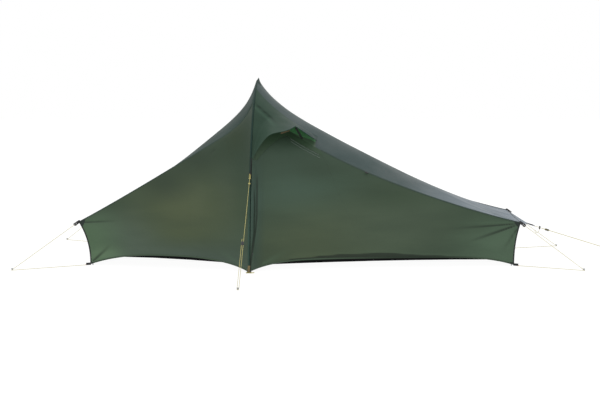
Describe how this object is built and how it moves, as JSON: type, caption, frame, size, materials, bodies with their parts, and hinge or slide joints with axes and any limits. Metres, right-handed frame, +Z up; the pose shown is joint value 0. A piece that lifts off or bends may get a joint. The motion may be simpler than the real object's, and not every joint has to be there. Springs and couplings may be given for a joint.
{
  "type": "backpacking tent",
  "caption": "One-person backpacking tent pitched over a single arch pole, with a side door, propped vent hood, inner tent, corner struts, pegs and guy lines.",
  "frame": {"origin": "on the ground, on the centre line, below the arch pole", "axes": "+X runs along the tent from the head end to the foot end, -Y is the door side, +Z is up"},
  "size_m": [3.411, 2.095, 1],
  "materials": {
    "fly_cloth": "coated ripstop, dark forest green",
    "vent_netting": "fine bright green netting",
    "inner_netting": "dark netting",
    "groundsheet": "coated, near black",
    "guy_cord": "braided, pale yellow",
    "peg_alloy": "satin grey",
    "pole_alloy": "satin anodised",
    "shock_cord": "braided elastic",
    "webbing": "woven, black",
    "black_plastic": "moulded, black"
  },
  "bodies": {
    "pitched_tent": {"corner_buckle_foot_back": "black_plastic", "corner_buckle_foot_front": "black_plastic", "corner_buckle_head_back": "black_plastic", "corner_buckle_head_front": "black_plastic", "corner_line_foot_back": "guy_cord", "corner_line_foot_front": "guy_cord", "corner_line_head_back": "guy_cord", "corner_line_head_front": "guy_cord", "corner_strut_foot_back": "pole_alloy", "corner_strut_foot_front": "pole_alloy", "corner_strut_head_back": "pole_alloy", "corner_strut_head_front": "pole_alloy", "corner_tab_foot_back": "webbing", "corner_tab_foot_front": "webbing", "corner_tab_head_back": "webbing", "corner_tab_head_front": "webbing", "door_zip_tape": "webbing", "end_beak": "fly_cloth", "fly_back_foot": "fly_cloth", "fly_back_head": "fly_cloth", "fly_end_foot": "fly_cloth", "fly_end_head": "fly_cloth", "fly_front_foot": "fly_cloth", "fly_front_head": "fly_cloth", "fly_roof_foot": "fly_cloth", "fly_roof_head": "fly_cloth", "foot_eyelet_back": "webbing", "foot_eyelet_front": "webbing", "guy_hook_end": "black_plastic", "guy_line_back": "guy_cord", "guy_line_end": "guy_cord", "guy_line_front": "guy_cord", "inner_canopy": "inner_netting", "inner_floor": "groundsheet", "peg_back": "peg_alloy", "peg_end": "peg_alloy", "peg_foot_back": "peg_alloy", "peg_foot_front": "peg_alloy", "peg_front": "peg_alloy", "peg_head_back": "peg_alloy", "peg_head_front": "peg_alloy", "pole_section_1": "pole_alloy", "pole_section_2": "pole_alloy", "pole_section_3": "pole_alloy", "pole_section_4": "pole_alloy", "pole_section_5": "pole_alloy", "pole_section_6": "pole_alloy", "pole_shock_cord": "shock_cord", "pole_sleeve": "fly_cloth", "vent_hood": "fly_cloth", "vent_mesh": "vent_netting"},
    "fly_door_panel": {"fly_door": "fly_cloth"},
    "inner_door_panel": {"inner_door": "inner_netting"},
    "vent_prop": {"vent_strut": "black_plastic"},
    "zip_slider_body": {"zip_slider": "black_plastic"},
    "zip_pull_tag": {"zip_pull": "black_plastic"},
    "guy_tensioner_front": {"guy_slider_front": "black_plastic"},
    "guy_tensioner_back": {"guy_slider_back": "black_plastic"},
    "guy_tensioner_end": {"guy_slider_end": "black_plastic"},
    "toggle": {"door_toggle": "black_plastic"}
  },
  "joints": [
    {"name": "fly_door_hinge", "type": "hinge", "parent": "pitched_tent", "child": "fly_door_panel", "pos_m": [0.62, -0.44161, 0.0611], "axis": [-0.3999, 0.2176, 0.8903], "range_deg": [0, 120]},
    {"name": "inner_door_hinge", "type": "hinge", "parent": "pitched_tent", "child": "inner_door_panel", "pos_m": [0.41894, -0.21929, 0.11363], "axis": [0.0001, 0.0565, 0.9984], "range_deg": [-50, 20]},
    {"name": "vent_strut_fold", "type": "hinge", "parent": "pitched_tent", "child": "vent_prop", "pos_m": [0.236, -0.388, 0.7506], "axis": [1, 0, 0], "range_deg": [0, 19]},
    {"name": "zip_slider_run", "type": "hinge", "parent": "pitched_tent", "child": "zip_slider_body", "pos_m": [0.01385, 0.98097, -0.03971], "axis": [-1, 0, 0], "range_deg": [0, 15.13]},
    {"name": "zip_pull_swing", "type": "hinge", "parent": "zip_slider_body", "child": "zip_pull_tag", "pos_m": [0.01927, -0.55738, 0.10192], "axis": [-0.6957, -0.7154, 0.0651], "range_deg": [0, 160]},
    {"name": "guy_slider_front_run", "type": "slide", "parent": "pitched_tent", "child": "guy_tensioner_front", "axis": [0, 0.7523, 0.6588], "range_m": [-0.2, 0.02]},
    {"name": "guy_slider_back_run", "type": "slide", "parent": "pitched_tent", "child": "guy_tensioner_back", "axis": [0, -0.7523, 0.6588], "range_m": [-0.2, 0.02]},
    {"name": "guy_slider_end_run", "type": "slide", "parent": "pitched_tent", "child": "guy_tensioner_end", "axis": [-0.9563, 0, 0.2924], "range_m": [-0.2, 0.02]},
    {"name": "door_toggle_turn", "type": "hinge", "parent": "pitched_tent", "child": "toggle", "pos_m": [0.612, -0.27871, 0.50131], "axis": [0, -0.6785, 0.7346], "range_deg": [-85, 85]}
  ]
}
